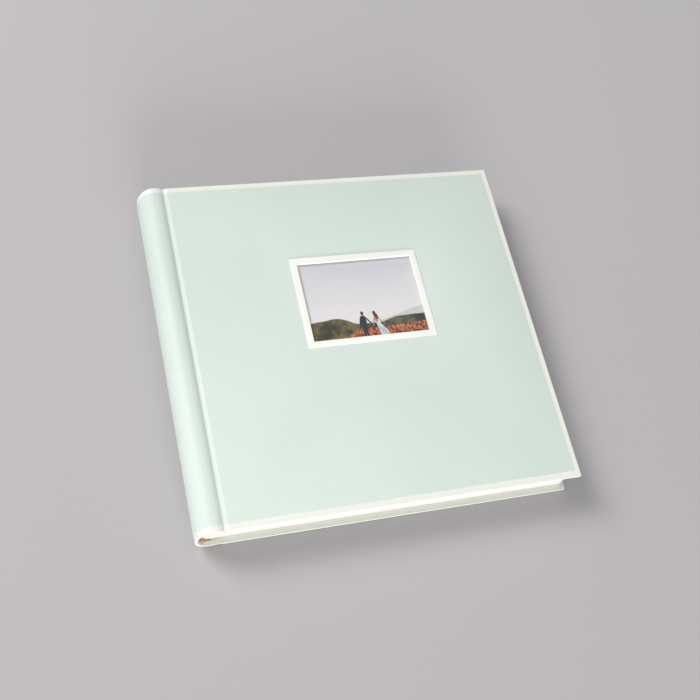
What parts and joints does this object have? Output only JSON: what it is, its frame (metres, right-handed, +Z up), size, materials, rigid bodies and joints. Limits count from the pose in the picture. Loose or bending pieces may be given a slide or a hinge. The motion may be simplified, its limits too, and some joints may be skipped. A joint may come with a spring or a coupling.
{
  "type": "scrapbook album",
  "caption": "Case-bound scrapbook album with a round leather spine, ivory borders, a framed photo window, hinged covers and turning leaves.",
  "frame": {"origin": "on the resting face under the middle of the closed album", "axes": "+X from the spine to the fore-edge, +Y from tail to head, +Z up through the closed covers"},
  "size_m": [0.3364, 0.318, 0.0414],
  "materials": {
    "mint_leather": "satin",
    "ivory_cloth": "matte",
    "ivory_leather": "satin",
    "greyboard": "matte",
    "spine_card": "matte",
    "endpaper": "matte",
    "album_leaf": "matte",
    "guard_paper": "matte",
    "kraft_paper": "matte",
    "mull": "matte",
    "striped_endband": "satin",
    "clear_film": "gloss",
    "print_paper": "satin"
  },
  "bodies": {
    "rear_cover": {"rear_board": "greyboard", "rear_cloth": "ivory_cloth", "rear_leather": "mint_leather", "rear_pastedown": "endpaper", "rear_joint_leather": "mint_leather", "rear_joint_cloth": "ivory_cloth", "rear_joint_lining": "endpaper"},
    "binding": {"spine_stiffener": "spine_card", "spine_cloth": "ivory_cloth", "spine_leather": "mint_leather", "spine_kraft_lining": "kraft_paper", "back_lining": "mull", "page_guards": "guard_paper", "head_endband": "striped_endband", "tail_endband": "striped_endband"},
    "front_joint": {"front_joint_leather": "mint_leather", "front_joint_cloth": "ivory_cloth", "front_joint_lining": "endpaper", "front_flyleaf": "endpaper"},
    "front_cover": {"front_board": "greyboard", "front_cloth": "ivory_cloth", "front_leather": "mint_leather", "front_pastedown": "endpaper", "window_frame": "ivory_leather", "window_film": "clear_film", "photo_print": "print_paper", "print_backing": "greyboard"},
    "leaf_01": {"leaf_01": "album_leaf"},
    "leaf_02": {"leaf_02": "album_leaf"},
    "leaf_03": {"leaf_03": "album_leaf"},
    "leaf_04": {"leaf_04": "album_leaf"},
    "leaf_05": {"leaf_05": "album_leaf"},
    "leaf_06": {"leaf_06": "album_leaf"},
    "leaf_07": {"leaf_07": "album_leaf"},
    "leaf_08": {"leaf_08": "album_leaf"},
    "leaf_09": {"leaf_09": "album_leaf"},
    "leaf_10": {"leaf_10": "album_leaf"},
    "leaf_11": {"leaf_11": "album_leaf"},
    "leaf_12": {"leaf_12": "album_leaf"},
    "leaf_13": {"leaf_13": "album_leaf"},
    "leaf_14": {"leaf_14": "album_leaf"},
    "leaf_15": {"leaf_15": "album_leaf"},
    "leaf_16": {"leaf_16": "album_leaf"},
    "leaf_17": {"leaf_17": "album_leaf"},
    "leaf_18": {"leaf_18": "album_leaf"},
    "leaf_19": {"leaf_19": "album_leaf"},
    "leaf_20": {"leaf_20": "album_leaf"},
    "rear_flyleaf": {"rear_flyleaf": "endpaper"}
  },
  "joints": [
    {"name": "album_opening", "type": "hinge", "parent": "rear_cover", "child": "binding", "pos_m": [-0.15175, 0, 0.0027], "axis": [0, -1, 0], "range_deg": [0, 90]},
    {"name": "front_joint_fold", "type": "hinge", "parent": "binding", "child": "front_joint", "pos_m": [-0.15175, 0, 0.03723], "axis": [0, -1, 0], "range_deg": [0, 90]},
    {"name": "front_cover_swing", "type": "hinge", "parent": "front_joint", "child": "front_cover", "pos_m": [-0.14175, 0, 0.04023], "axis": [0, -1, 0], "range_deg": [0, 130]},
    {"name": "leaf_01_turn", "type": "hinge", "parent": "binding", "child": "leaf_01", "pos_m": [-0.14828, 0, 0.03355], "axis": [0, -1, 0], "range_deg": [0, 90]},
    {"name": "leaf_02_turn", "type": "hinge", "parent": "binding", "child": "leaf_02", "pos_m": [-0.14706, 0, 0.03212], "axis": [0, -1, 0], "range_deg": [0, 90]},
    {"name": "leaf_03_turn", "type": "hinge", "parent": "binding", "child": "leaf_03", "pos_m": [-0.14584, 0, 0.03069], "axis": [0, -1, 0], "range_deg": [0, 90]},
    {"name": "leaf_04_turn", "type": "hinge", "parent": "binding", "child": "leaf_04", "pos_m": [-0.14462, 0, 0.02926], "axis": [0, -1, 0], "range_deg": [0, 90]},
    {"name": "leaf_05_turn", "type": "hinge", "parent": "binding", "child": "leaf_05", "pos_m": [-0.1434, 0, 0.02783], "axis": [0, -1, 0], "range_deg": [0, 90]},
    {"name": "leaf_06_turn", "type": "hinge", "parent": "binding", "child": "leaf_06", "pos_m": [-0.14218, 0, 0.0264], "axis": [0, -1, 0], "range_deg": [0, 90]},
    {"name": "leaf_07_turn", "type": "hinge", "parent": "binding", "child": "leaf_07", "pos_m": [-0.14096, 0, 0.02497], "axis": [0, -1, 0], "range_deg": [0, 90]},
    {"name": "leaf_08_turn", "type": "hinge", "parent": "binding", "child": "leaf_08", "pos_m": [-0.13974, 0, 0.02354], "axis": [0, -1, 0], "range_deg": [0, 90]},
    {"name": "leaf_09_turn", "type": "hinge", "parent": "binding", "child": "leaf_09", "pos_m": [-0.13852, 0, 0.02211], "axis": [0, -1, 0], "range_deg": [0, 90]},
    {"name": "leaf_10_turn", "type": "hinge", "parent": "binding", "child": "leaf_10", "pos_m": [-0.1373, 0, 0.02068], "axis": [0, -1, 0], "range_deg": [0, 90]},
    {"name": "leaf_11_turn", "type": "hinge", "parent": "binding", "child": "leaf_11", "pos_m": [-0.1373, 0, 0.01925], "axis": [0, -1, 0], "range_deg": [-90, 0]},
    {"name": "leaf_12_turn", "type": "hinge", "parent": "binding", "child": "leaf_12", "pos_m": [-0.13852, 0, 0.01782], "axis": [0, -1, 0], "range_deg": [-90, 0]},
    {"name": "leaf_13_turn", "type": "hinge", "parent": "binding", "child": "leaf_13", "pos_m": [-0.13974, 0, 0.01639], "axis": [0, -1, 0], "range_deg": [-90, 0]},
    {"name": "leaf_14_turn", "type": "hinge", "parent": "binding", "child": "leaf_14", "pos_m": [-0.14096, 0, 0.01496], "axis": [0, -1, 0], "range_deg": [-90, 0]},
    {"name": "leaf_15_turn", "type": "hinge", "parent": "binding", "child": "leaf_15", "pos_m": [-0.14218, 0, 0.01353], "axis": [0, -1, 0], "range_deg": [-90, 0]},
    {"name": "leaf_16_turn", "type": "hinge", "parent": "binding", "child": "leaf_16", "pos_m": [-0.1434, 0, 0.0121], "axis": [0, -1, 0], "range_deg": [-90, 0]},
    {"name": "leaf_17_turn", "type": "hinge", "parent": "binding", "child": "leaf_17", "pos_m": [-0.14462, 0, 0.01067], "axis": [0, -1, 0], "range_deg": [-90, 0]},
    {"name": "leaf_18_turn", "type": "hinge", "parent": "binding", "child": "leaf_18", "pos_m": [-0.14584, 0, 0.00924], "axis": [0, -1, 0], "range_deg": [-90, 0]},
    {"name": "leaf_19_turn", "type": "hinge", "parent": "binding", "child": "leaf_19", "pos_m": [-0.14706, 0, 0.00781], "axis": [0, -1, 0], "range_deg": [-90, 0]},
    {"name": "leaf_20_turn", "type": "hinge", "parent": "binding", "child": "leaf_20", "pos_m": [-0.14828, 0, 0.00638], "axis": [0, -1, 0], "range_deg": [-90, 0]},
    {"name": "rear_flyleaf_turn", "type": "hinge", "parent": "binding", "child": "rear_flyleaf", "pos_m": [-0.1495, 0, 0.00495], "axis": [0, -1, 0], "range_deg": [-90, 0]}
  ],
  "couplings": [
    {"joint": "front_joint_fold", "follows": "album_opening", "ratio": 1},
    {"joint": "leaf_01_turn", "follows": "album_opening", "ratio": 0.996},
    {"joint": "leaf_02_turn", "follows": "album_opening", "ratio": 0.992},
    {"joint": "leaf_03_turn", "follows": "album_opening", "ratio": 0.988},
    {"joint": "leaf_04_turn", "follows": "album_opening", "ratio": 0.984},
    {"joint": "leaf_05_turn", "follows": "album_opening", "ratio": 0.98},
    {"joint": "leaf_06_turn", "follows": "album_opening", "ratio": 0.976},
    {"joint": "leaf_07_turn", "follows": "album_opening", "ratio": 0.972},
    {"joint": "leaf_08_turn", "follows": "album_opening", "ratio": 0.968},
    {"joint": "leaf_09_turn", "follows": "album_opening", "ratio": 0.964},
    {"joint": "leaf_10_turn", "follows": "album_opening", "ratio": 0.96},
    {"joint": "leaf_11_turn", "follows": "album_opening", "ratio": -0.96},
    {"joint": "leaf_12_turn", "follows": "album_opening", "ratio": -0.964},
    {"joint": "leaf_13_turn", "follows": "album_opening", "ratio": -0.968},
    {"joint": "leaf_14_turn", "follows": "album_opening", "ratio": -0.972},
    {"joint": "leaf_15_turn", "follows": "album_opening", "ratio": -0.976},
    {"joint": "leaf_16_turn", "follows": "album_opening", "ratio": -0.98},
    {"joint": "leaf_17_turn", "follows": "album_opening", "ratio": -0.984},
    {"joint": "leaf_18_turn", "follows": "album_opening", "ratio": -0.988},
    {"joint": "leaf_19_turn", "follows": "album_opening", "ratio": -0.992},
    {"joint": "leaf_20_turn", "follows": "album_opening", "ratio": -0.996},
    {"joint": "rear_flyleaf_turn", "follows": "album_opening", "ratio": -1}
  ]
}
